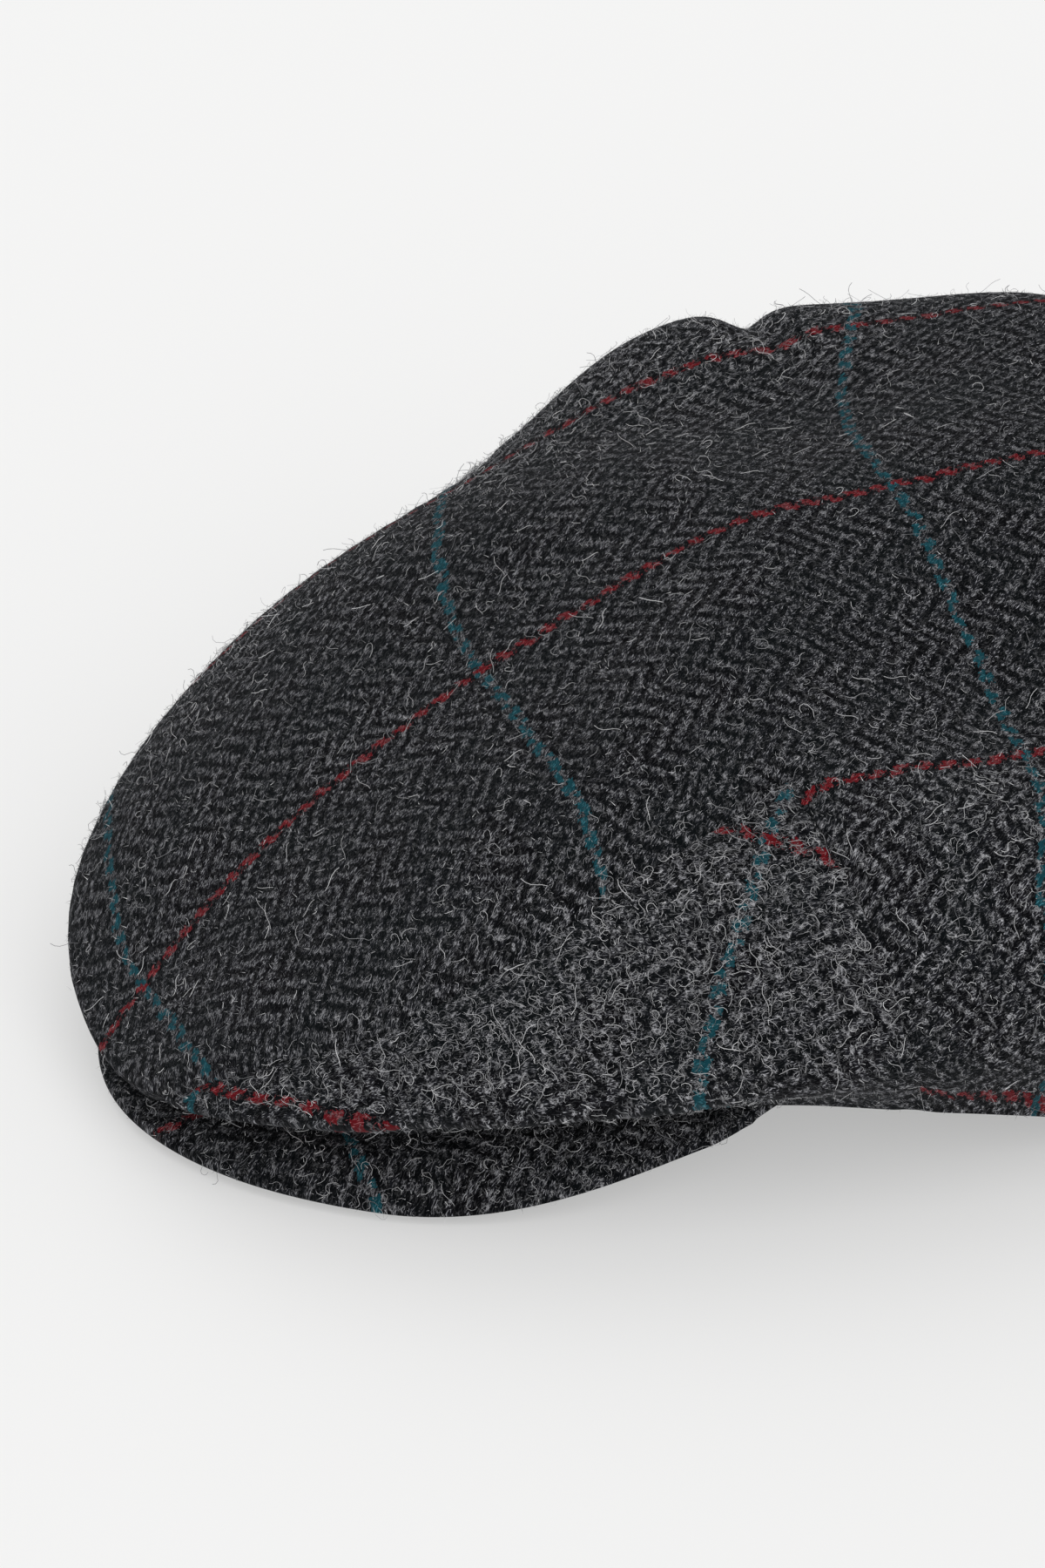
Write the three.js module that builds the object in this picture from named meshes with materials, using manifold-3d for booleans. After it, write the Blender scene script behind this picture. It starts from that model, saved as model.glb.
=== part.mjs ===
// A soft tweed flat cap: a one-piece top panel, two front side panels and a stiff peak.
// Millimetres, +Z up. The front faces -Y and the wearer's left is +X.
import * as THREE from "three";
import { mergeVertices } from "three/addons/utils/BufferGeometryUtils.js";
import Module from "manifold-3d";

// Driving dimensions
const clothWall = 2;
const peakThickness = 3.2;
const seamGap = 0.6;
const seatGap = 0.8;
const crownHeight = 104;
const peakHalfWidth = 74;
const peakBackY = -35;
const peakDeep = 102;
const foreheadHalfWidth = 66;
const foreheadBackY = -30;
const foreheadDeep = 56;
const foreheadSlope = 0.15;
const peakArch = 1.5;

// Between these two angles each end of the peak narrows to a tip of this width, tucked under the rim.
const peakTuckStart = 63;
const peakEnd = 69;
const peakTip = 2;

// Between these two angles from the centre front, each end of the peak lifts off the ground.
const peakLiftStart = 29;
const peakLiftEnd = 75;
const peakLift = 20;

// The crown's sections, one row for each angle round the cap from the centre front to the centre back.
// Each station is a radius from the plan's middle and a height; lean is the cloth's slant at its edge.
const sections = [
  { angle: 0, lean: 50, edge: [132.5, 6.6], wide: [138, 14], brow: [100, 56], crown: [50, 86] },
  { angle: 20, lean: 58, edge: [113, 11.4], wide: [136.5, 23], brow: [103, 59], crown: [51, 87] },
  { angle: 40, lean: 56, edge: [89, 15.8], wide: [122, 35], brow: [99, 67], crown: [52, 92] },
  { angle: 65, lean: 43, edge: [79, 20], wide: [104, 42], brow: [87, 75], crown: [51, 95] },
  { angle: 90, lean: 32, edge: [84, 18], wide: [102, 46], brow: [85, 86], crown: [51, 95] },
  { angle: 120, lean: 28, edge: [90, 5], wide: [114, 45], brow: [95, 90], crown: [53, 96] },
  { angle: 150, lean: 20, edge: [105, 0], wide: [128, 40], brow: [103, 94], crown: [57, 103] },
  { angle: 180, lean: 16, edge: [119, 0], wide: [134, 38], brow: [106, 91], crown: [60, 105] },
];

// Stations up the cloth: 0 edge, 1 wide, 2 brow, 3 crown, 4 top.
const topStation = 4;

// Where the soft crown has puffed out or sunk: the middle, the spread and the move of each form.
const softForms = [
  { form: "right shoulder puff", at: [-88, 8, 92], spread: [24, 34, 40], move: [-5, 0, 8] },
  { form: "right side notch", at: [-90, 25, 92], spread: [24, 5, 30], move: [2, 0, -4] },
  { form: "right back puff", at: [-72, 78, 92], spread: [40, 46, 45], move: [7, 3, 13] },
  { form: "left front tuck", at: [75, -111, 8], spread: [54, 69, 18], move: [-8, 3, 4] },
  { form: "left side slump", at: [62, 30, 88], spread: [42, 62, 45], move: [0, 0, -15] },
];

// The seam between top and side panel: its station at each angle, from the hem at the front to the apex.
// The crown slumps to the wearer's left, so the right side panel's seams lie lower by this share.
const rightSeamShare = 0.82;
const longSeam = [
  { angle: 8, station: 0 },
  { angle: 9.2, station: 0.5 },
  { angle: 11.8, station: 0.9 },
  { angle: 16, station: 1.12 },
  { angle: 22, station: 1.32 },
  { angle: 31, station: 1.5 },
  { angle: 41, station: 1.81 },
  { angle: 49, station: 2.13 },
  { angle: 58, station: 2.36 },
  { angle: 67, station: 2.6 },
];

// The short seam behind the side panel: its angle at each station, from the apex down to the rim.
const shortSeam = [
  { station: 2.3, angle: 71.5 },
  { station: 1.9, angle: 75 },
  { station: 1.3, angle: 79 },
  { station: 0.6, angle: 82.3 },
  { station: 0, angle: 84 },
];

// How finely the solids are faceted.
const crownRays = 76;
const crownRows = 21;
const seamSteps = 3;
const peakColumns = 26;
const peakRows = 6;

// Points nearer than this are one corner.
const sameCorner = 1e-4;

const degree = Math.PI / 180;

// The smooth curve through four values at four places, between the middle two.
function smoothBetween(places, values, place) {
  const span = places[2] - places[1];
  const slope1 = (values[2] - values[0]) / (places[2] - places[0]);
  const slope2 = (values[3] - values[1]) / (places[3] - places[1]);
  const s = (place - places[1]) / span;
  return (
    (1 + 2 * s) * (1 - s) ** 2 * values[1] +
    s * (1 - s) ** 2 * span * slope1 +
    s * s * (3 - 2 * s) * values[2] +
    s * s * (s - 1) * span * slope2
  );
}

// The table's columns at any angle. Both halves of the cap use the same rows, mirrored past each end.
function sectionAt(angle) {
  const a = Math.abs(angle) > 180 ? 360 - Math.abs(angle) : Math.abs(angle);
  const last = sections.length - 1;
  let k = 0;
  while (k < last - 1 && sections[k + 1].angle <= a) k += 1;
  const before = Math.abs(k - 1);
  const after = k + 2 > last ? last - 1 : k + 2;
  const rows = [sections[before], sections[k], sections[k + 1], sections[after]];
  const places = rows.map((row) => row.angle);
  if (k === 0) places[0] = -places[0];
  if (k + 2 > last) places[3] = 360 - places[3];
  const at = (read) => smoothBetween(places, rows.map(read), a);
  const pair = (station) => [at((row) => row[station][0]), at((row) => row[station][1])];
  return {
    lean: at((row) => row.lean),
    edge: pair("edge"),
    wide: pair("wide"),
    brow: pair("brow"),
    crown: pair("crown"),
  };
}

// The point at a radius from the plan's middle, an angle from the centre front, and a height.
function planPoint(angle, r, z) {
  return new THREE.Vector3(r * Math.sin(angle * degree), -r * Math.cos(angle * degree), z);
}

// A point on the cloth's outer face, at an angle round the cap and a station up it. The soft forms
// fade out towards the hem, which its seam holds.
function clothPoint(angle, station) {
  const { lean, edge, wide, brow, crown } = sectionAt(angle);
  const roll = Math.hypot(wide[0] - edge[0], wide[1] - edge[1]);
  const under = [Math.sin(lean * degree), Math.cos(lean * degree)].map((v, i) => wide[i] - 2 * roll * v);
  const profile = [under, edge, wide, brow, crown, [0, crownHeight], [-crown[0], crown[1]]];
  const k = Math.min(Math.floor(station), topStation - 1);
  const four = profile.slice(k, k + 4);
  const places = [0];
  for (let i = 1; i < 4; i++) {
    const step = Math.hypot(four[i][0] - four[i - 1][0], four[i][1] - four[i - 1][1]);
    places.push(places[i - 1] + (k + i === 1 ? roll : step));
  }
  const place = THREE.MathUtils.lerp(places[1], places[2], station - k);
  const r = smoothBetween(places, four.map((p) => p[0]), place);
  const z = smoothBetween(places, four.map((p) => p[1]), place);
  const point = planPoint(angle, r, Math.max(z, 0));
  const moved = point.clone();
  const free = Math.min(station, 1);
  for (const { at, spread, move } of softForms) {
    const off = point.toArray().map((v, i) => (v - at[i]) / spread[i]);
    const share = free * Math.exp(-(off[0] ** 2 + off[1] ** 2 + off[2] ** 2));
    moved.addScaledVector(new THREE.Vector3(...move), share);
  }
  return moved;
}

// The cloth's outward direction, from its slopes round the cap and up it.
function clothNormal(angle, station) {
  const rise = 0.02;
  const turn = 0.5;
  const low = Math.max(station - rise, 0);
  const high = Math.min(station + rise, topStation - rise);
  const above = clothPoint(angle, Math.max(high, low + rise));
  const below = clothPoint(angle, Math.min(low, high - rise));
  const safe = Math.min(station, topStation - rise);
  const round = clothPoint(angle + turn, safe).sub(clothPoint(angle - turn, safe));
  return round.cross(above.sub(below)).normalize();
}

// The cloth's inner face. A hem that rests on the ground or on the head is cut level.
function liningPoint(angle, station) {
  const outer = clothPoint(angle, station);
  const inward = clothNormal(angle, station).negate();
  const freeHem = station === 0 && Math.abs(angle) > shortSeam.at(-1).angle;
  if (freeHem) inward.setZ(0).normalize();
  if (station === topStation) inward.set(0, 0, -1);
  return outer.addScaledVector(inward, clothWall);
}

// A closed body between two grids of points, outer[i][j] and inner[i][j]. A looped grid joins its
// last column to its first, and has a wall only along its first row.
function shellGeometry(outer, inner, looped) {
  const columns = outer.length;
  const rows = outer[0].length;
  const corners = [];
  const triangle = (a, b, c) => {
    const sides = [a.distanceTo(b), b.distanceTo(c), c.distanceTo(a)];
    if (Math.min(...sides) > sameCorner) corners.push(...a.toArray(), ...b.toArray(), ...c.toArray());
  };
  const quad = (a, b, c, d) => {
    triangle(a, b, c);
    triangle(a, c, d);
  };
  const lastColumn = looped ? columns : columns - 1;
  for (let i = 0; i < lastColumn; i++) {
    const n = (i + 1) % columns;
    for (let j = 0; j < rows - 1; j++) {
      quad(outer[i][j], outer[n][j], outer[n][j + 1], outer[i][j + 1]);
      quad(inner[i][j], inner[i][j + 1], inner[n][j + 1], inner[n][j]);
    }
    quad(outer[i][0], inner[i][0], inner[n][0], outer[n][0]);
    if (!looped) quad(outer[i][rows - 1], outer[n][rows - 1], inner[n][rows - 1], inner[i][rows - 1]);
  }
  if (!looped) {
    const end = columns - 1;
    for (let j = 0; j < rows - 1; j++) {
      quad(outer[0][j], outer[0][j + 1], inner[0][j + 1], inner[0][j]);
      quad(outer[end][j], inner[end][j], inner[end][j + 1], outer[end][j + 1]);
    }
  }
  const geometry = new THREE.BufferGeometry();
  geometry.setAttribute("position", new THREE.Float32BufferAttribute(corners, 3));
  geometry.computeVertexNormals();
  return geometry;
}

// The whole crown in one shell, before its seams part the panels.
function crownGeometry() {
  const outer = [];
  const inner = [];
  for (let i = 0; i < crownRays; i++) {
    const angle = (360 * i) / crownRays;
    const stations = [];
    for (let j = 0; j <= crownRows; j++) stations.push((topStation * j) / crownRows);
    outer.push(stations.map((station) => clothPoint(angle, station)));
    inner.push(stations.map((station) => liningPoint(angle, station)));
  }
  return shellGeometry(outer, inner, true);
}

// The way a side panel's seams run over the cloth: from the front hem to the apex, then down to the rim.
function seamPath(side) {
  const corners = [...longSeam, ...shortSeam];
  const height = side < 0 ? rightSeamShare : 1;
  const path = [];
  for (let k = 0; k < corners.length - 1; k++) {
    for (let i = 0; i < seamSteps; i++) {
      const share = i / seamSteps;
      const angle = THREE.MathUtils.lerp(corners[k].angle, corners[k + 1].angle, share);
      const station = THREE.MathUtils.lerp(corners[k].station, corners[k + 1].station, share);
      path.push([side * angle, height * station]);
    }
  }
  path.push([side * corners.at(-1).angle, 0]);
  return path;
}

// A thin blade through the cloth along a seam. Its two ends run past the hem.
function seamGeometry(side) {
  const pastHem = 6;
  const pastFace = 3;
  const path = seamPath(side);
  const points = path.map(([angle, station]) => clothPoint(angle, station));
  const normals = path.map(([angle, station]) => clothNormal(angle, station));
  const beyond = (end, before) => end.clone().lerp(before, -pastHem / end.distanceTo(before));
  points.unshift(beyond(points[0], points[1]));
  points.push(beyond(points.at(-1), points.at(-2)));
  normals.unshift(normals[0]);
  normals.push(normals.at(-1));
  const left = [];
  const right = [];
  for (const [i, point] of points.entries()) {
    const next = points[Math.min(i + 1, points.length - 1)];
    const along = next.clone().sub(points[Math.max(i - 1, 0)]).normalize();
    const across = normals[i].clone().cross(along).setLength(seamGap / 2);
    const heights = [-clothWall - pastFace, pastFace];
    const ends = heights.map((height) => point.clone().addScaledVector(normals[i], height));
    left.push(ends.map((end) => end.clone().sub(across)));
    right.push(ends.map((end) => end.clone().add(across)));
  }
  return shellGeometry(left, right, false);
}

const wasm = await Module();
wasm.setup();

function solidOf(geometry) {
  const bare = geometry.clone();
  bare.deleteAttribute("normal");
  const merged = mergeVertices(bare, sameCorner);
  const vertProperties = merged.attributes.position.array;
  const triVerts = new Uint32Array(merged.index.array);
  return new wasm.Manifold(new wasm.Mesh({ numProp: 3, vertProperties, triVerts }));
}

function geometryOf(solid) {
  const { numProp, vertProperties, triVerts } = solid.getMesh();
  const geometry = new THREE.BufferGeometry();
  const corners = [];
  for (const v of triVerts) corners.push(...vertProperties.slice(v * numProp, v * numProp + 3));
  geometry.setAttribute("position", new THREE.Float32BufferAttribute(corners, 3));
  geometry.computeVertexNormals();
  return geometry;
}

// The crown parted along both seams: the top panel is the largest piece, and the side panels are on
// the wearer's left and right.
function crownPanels() {
  let crown = solidOf(crownGeometry());
  for (const side of [-1, 1]) crown = crown.subtract(solidOf(seamGeometry(side)));
  const panels = crown.decompose().sort((one, other) => other.volume() - one.volume());
  const [top, ...sides] = panels.slice(0, 3);
  const [right, left] = sides.sort((one, other) => one.boundingBox().min[0] - other.boundingBox().min[0]);
  return { top: geometryOf(top), left: geometryOf(left), right: geometryOf(right) };
}

// The radius at which the ray at an angle meets an ellipse whose middle lies on the centre line.
function ellipseRadius(angle, halfWidth, backY, deep) {
  const sx = Math.sin(angle * degree) / halfWidth;
  const sy = Math.cos(angle * degree) / deep;
  const off = backY / deep;
  const a = sx * sx + sy * sy;
  const b = 2 * sy * off;
  const c = off * off - 1;
  return (-b + Math.sqrt(b * b - 4 * a * c)) / (2 * a);
}

// The peak is a bent plate. It rests on its outer edge, rises under the crown's front hem to the
// forehead, and its two ends lift off the ground and narrow to tips where the rim takes them up.
function peakGeometry() {
  const upper = [];
  const lower = [];
  for (let i = 0; i <= peakColumns; i++) {
    const angle = THREE.MathUtils.lerp(-peakEnd, peakEnd, i / peakColumns);
    const [seatR, hemZ] = sectionAt(angle).edge;
    const outR = ellipseRadius(angle, peakHalfWidth, peakBackY, peakDeep);
    const inR = ellipseRadius(angle, foreheadHalfWidth, foreheadBackY, foreheadDeep);
    const lift = THREE.MathUtils.smoothstep(Math.abs(angle), peakLiftStart, peakLiftEnd) * peakLift;
    const arch = peakArch * Math.cos(Math.min(Math.abs(angle) / peakLiftStart, 1) * 90 * degree);
    const seatZ = hemZ - seatGap;
    const edgeZ = Math.min(lift + arch + peakThickness, seatZ);
    const tuck = THREE.MathUtils.smoothstep(Math.abs(angle), peakTuckStart, peakEnd);
    const cutR = THREE.MathUtils.lerp(outR, inR + peakTip, tuck);
    const top = [];
    const under = [];
    for (let j = 0; j <= peakRows; j++) {
      const r = THREE.MathUtils.lerp(cutR, inR, j / peakRows);
      const toSeat = (outR - r) / (outR - seatR);
      const rise = toSeat < 1 ? Math.sin(toSeat * 90 * degree) : 1;
      const z = edgeZ + (seatZ - edgeZ) * rise + foreheadSlope * Math.max(seatR - r, 0);
      top.push(planPoint(angle, r, z));
      under.push(planPoint(angle, r, z - peakThickness));
    }
    upper.push(top);
    lower.push(under);
  }
  return shellGeometry(upper, lower, false);
}

const tweed = { roughness: 0.95, metalness: 0 };
const topTweed = new THREE.MeshStandardMaterial({ ...tweed, color: 0x36373b });
const sideTweed = new THREE.MeshStandardMaterial({ ...tweed, color: 0x3c3d41 });
const peakTweed = new THREE.MeshStandardMaterial({ ...tweed, color: 0x2b2d31 });

function named(name, geometry, material) {
  const mesh = new THREE.Mesh(geometry, material);
  mesh.name = name;
  return mesh;
}

const panels = crownPanels();
const cap = new THREE.Group();
cap.add(
  named("top_panel", panels.top, topTweed),
  named("left_side_panel", panels.left, sideTweed),
  named("right_side_panel", panels.right, sideTweed),
  named("peak", peakGeometry(), peakTweed),
);

// The origin is the middle of the footprint, on the ground.
const middle = new THREE.Box3().setFromObject(cap).getCenter(new THREE.Vector3());
for (const mesh of cap.children) mesh.position.set(-middle.x, -middle.y, 0);

export default cap;
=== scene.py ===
import math

import bpy
import numpy as np
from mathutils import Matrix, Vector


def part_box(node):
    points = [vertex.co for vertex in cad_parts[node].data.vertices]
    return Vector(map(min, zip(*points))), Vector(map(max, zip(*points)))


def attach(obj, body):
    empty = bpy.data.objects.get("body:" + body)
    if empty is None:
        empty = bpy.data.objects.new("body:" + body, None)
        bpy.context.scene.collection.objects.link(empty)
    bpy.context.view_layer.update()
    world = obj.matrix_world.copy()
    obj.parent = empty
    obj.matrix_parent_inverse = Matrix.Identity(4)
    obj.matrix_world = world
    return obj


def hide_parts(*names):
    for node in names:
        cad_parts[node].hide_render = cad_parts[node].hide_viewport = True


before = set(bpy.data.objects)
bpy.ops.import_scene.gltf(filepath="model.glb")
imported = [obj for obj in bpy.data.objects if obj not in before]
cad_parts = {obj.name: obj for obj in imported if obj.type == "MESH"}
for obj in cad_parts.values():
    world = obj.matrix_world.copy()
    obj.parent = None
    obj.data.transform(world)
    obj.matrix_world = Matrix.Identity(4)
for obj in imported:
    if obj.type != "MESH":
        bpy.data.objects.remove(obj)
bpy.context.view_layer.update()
bpy.ops.object.select_all(action="DESELECT")

# Top panel. On the real cap this is one piece of wool tweed, cut with its red lines front to back. It is
# sewn to both side panels, rolled over the peak at the front, and turned in at its hem round the back.
mm = 0.001
cloth_wall = 2 * mm
crown_height = 104
top_station = 4

# The crown's sections round the cap, in millimetres, from the centre front to the centre back. Each has
# a radius and a height for the edge, the widest place, the brow and the crown, and the slant at its edge.
section_turns = np.array([0, 20, 40, 65, 90, 120, 150, 180])
edge_lean = np.array([50, 58, 56, 43, 32, 28, 20, 16])
edge_spot = [(132.5, 6.6), (113, 11.4), (89, 15.8), (79, 20), (84, 18), (90, 5), (105, 0), (119, 0)]
wide_spot = [(138, 14), (136.5, 23), (122, 35), (104, 42), (102, 46), (114, 45), (128, 40), (134, 38)]
brow_spot = [(100, 56), (103, 59), (99, 67), (87, 75), (85, 86), (95, 90), (103, 94), (106, 91)]
crown_spot = [(50, 86), (51, 87), (52, 92), (51, 95), (51, 95), (53, 96), (57, 103), (60, 105)]
section_spots = np.array([edge_spot, wide_spot, brow_spot, crown_spot])

# Where the soft crown has puffed out or sunk: the middle, the spread and the move, in millimetres.
soft_forms = {
    "right shoulder puff": ((-88, 8, 92), (24, 34, 40), (-5, 0, 8)),
    "right side notch": ((-90, 25, 92), (24, 5, 30), (2, 0, -4)),
    "right back puff": ((-72, 78, 92), (40, 46, 45), (7, 3, 13)),
    "left front tuck": ((75, -111, 8), (54, 69, 18), (-8, 3, 4)),
    "left side slump": ((62, 30, 88), (42, 62, 45), (0, 0, -15)),
}

# The seams round a side panel: how far round the cap and how far up it, hem to apex and down to the rim.
# The crown slumps to the wearer's left, so the right side panel's seams lie lower.
long_seam = [(8, 0), (9.2, 0.5), (11.8, 0.9), (16, 1.12), (22, 1.32), (31, 1.5), (41, 1.81), (49, 2.13)]
long_seam += [(58, 2.36), (67, 2.6)]
right_seam_share = 0.82
short_seam = [(71.5, 2.3), (75, 1.9), (79, 1.3), (82.3, 0.6), (84, 0)]
seam_front, seam_apex, seam_back = 8, 67, 84


def smooth_between(places, values, place):
    """The smooth curve through four values at four places, between the middle two."""
    span = places[2] - places[1]
    slope1 = (values[2] - values[0]) / (places[2] - places[0])
    slope2 = (values[3] - values[1]) / (places[3] - places[1])
    s = (place - places[1]) / span
    rising = s * s * (3 - 2 * s)
    return (
        (1 - rising) * values[1]
        + s * (1 - s) ** 2 * span * slope1
        + rising * values[2]
        + s * s * (s - 1) * span * slope2
    )


def section_at(turn):
    """The slant and the four spots of the section at any turn from the centre front, either way round."""
    turn = np.abs(turn)
    turn = np.where(turn > 180, 360 - turn, turn)
    last = len(section_turns) - 1
    here = np.clip(np.searchsorted(section_turns, turn, side="right") - 1, 0, last - 1)
    before = np.abs(here - 1)
    after = np.where(here + 2 > last, last - 1, here + 2)
    places = [
        np.where(here == 0, -section_turns[before], section_turns[before]),
        section_turns[here],
        section_turns[here + 1],
        np.where(here + 2 > last, 360 - section_turns[after], section_turns[after]),
    ]
    rows = before, here, here + 1, after
    lean = smooth_between(places, [edge_lean[row] for row in rows], turn)
    places = [place[..., None] for place in places]
    turn = turn[..., None]
    spots = [smooth_between(places, [spot[row] for row in rows], turn) for spot in section_spots]
    return lean, *spots


def flat_crown(turn, climb):
    """Radius and height of the cloth's outer face, at a turn round the cap and a climb from 0 to 4."""
    lean, edge, wide, brow, crown = section_at(turn)
    roll = np.linalg.norm(wide - edge, axis=-1)
    slant = np.stack([np.sin(np.radians(lean)), np.cos(np.radians(lean))], -1)
    top = np.broadcast_to([0.0, crown_height], wide.shape)
    profile = np.stack([wide - 2 * roll[..., None] * slant, edge, wide, brow, crown, top, crown * [-1, 1]])
    lower = np.clip(np.floor(climb).astype(int), 0, top_station - 1)
    four = [np.take_along_axis(profile, (lower + k)[None, ..., None], 0)[0] for k in range(4)]
    places = [np.zeros(turn.shape)]
    for k in range(1, 4):
        step = np.linalg.norm(four[k] - four[k - 1], axis=-1)
        places.append(places[-1] + np.where(lower + k == 1, roll, step))
    place = places[1] + (places[2] - places[1]) * (climb - lower)
    return smooth_between([p[..., None] for p in places], four, place[..., None])


def crown_point(turn, climb):
    """A point on the cloth's outer face, in metres."""
    turn, climb = np.broadcast_arrays(np.asarray(turn, float), np.asarray(climb, float))
    radius, height = np.moveaxis(flat_crown(turn, climb), -1, 0)
    angle = np.radians(turn)
    even = np.stack([radius * np.sin(angle), -radius * np.cos(angle), np.maximum(height, 0)], -1)
    moved = even.copy()
    for middle, spread, move in soft_forms.values():
        share = np.minimum(climb, 1) * np.exp(-(((even - middle) / spread) ** 2).sum(-1))
        moved += share[..., None] * np.array(move, float)
    return moved * mm + plan_shift


def unit(vectors):
    return vectors / np.maximum(np.linalg.norm(vectors, axis=-1, keepdims=True), 1e-12)


def crown_normal(turn, climb):
    """The cloth's outward direction, from its slopes round the cap and up it."""
    turn, climb = np.broadcast_arrays(np.asarray(turn, float), np.asarray(climb, float))
    rise, swing = 0.02, 0.5
    safe = np.clip(climb, 0, top_station - rise)
    above = crown_point(turn, np.minimum(safe + rise, top_station))
    below = crown_point(turn, np.maximum(safe - rise, 0))
    round_cap = crown_point(turn + swing, safe) - crown_point(turn - swing, safe)
    return unit(np.cross(round_cap, above - below))


# The frame's origin is the middle of the footprint, so the sections' middle lies a little off it.
plan_shift = np.zeros(3)
all_round = crown_point(*np.meshgrid(np.arange(-180, 180, 1.0), np.linspace(0, top_station, 80)))
top_low, top_high = (np.array(corner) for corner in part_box("top_panel"))
plan_shift = (top_low + top_high - all_round.min((0, 1)) - all_round.max((0, 1))) / 2 * [1, 1, 0]


def seam_climb(turn):
    """How far up the seam runs at a turn. Outside the side panels the top panel reaches the hem."""
    turns, climbs = np.array(long_seam + short_seam).T
    share = np.where(np.asarray(turn) < 0, right_seam_share, 1)
    return share * np.interp(np.abs(turn), turns, climbs, left=0, right=0)


def edge_turns(start, stop, spacing):
    """Turns at even steps along the seam or the hem."""
    fine = np.linspace(start, stop, 3000)
    steps = np.linalg.norm(np.diff(crown_point(fine, seam_climb(fine)), axis=0), axis=1)
    run = np.concatenate([[0], np.cumsum(steps)])
    return np.interp(np.linspace(0, run[-1], round(run[-1] / spacing) + 1), run, fine)


# The cloth's threads. Its red lines lie every 70 mm along the warp and its teal lines every 87.5 mm across.
red_apart = 70 * mm
teal_apart = 87.5 * mm
middle_teal_y = -62

# The soft cloth is drawn out of square. On the left its red lines spread in front, close up a little further
# back, and are drawn apart down the side and at the rim. The right red line closes in on the middle one at
# the back. The teal lines bow forwards on the left and backwards on the right.
left_stretch_y, left_stretch = [-45, -20, 0, 30], [0.965, 1.037, 1.022, 1.015]
left_side_start, left_side_ease, left_side_lean = 66 * mm, 0.877, 0.0057
left_side_turn, left_side_reach = 94, 14
rim_ease, rim_ease_start, tucked_in_drag = 0.45, 14 * mm, 0.45
rim_front_turn, rim_front_fade = 60, 15
rim_back_turn, rim_back_fade = 150, 40
left_sag, left_sag_start, left_sag_reach = 0.0055, 50, 45
right_pull, right_pull_reach = 0.004, 75
back_y, right_back_skew = [28, 75], 0.35
widest_from, widest_to = 0.5, 1.7


def widest(turn):
    """The climb at which the cloth stands out furthest, and how far that is."""
    climbs = np.linspace(widest_from, widest_to, 601)
    radii = flat_crown(*np.broadcast_arrays(turn[:, None], climbs))[..., 0]
    return climbs[radii.argmax(1)], radii.max(1)


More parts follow.
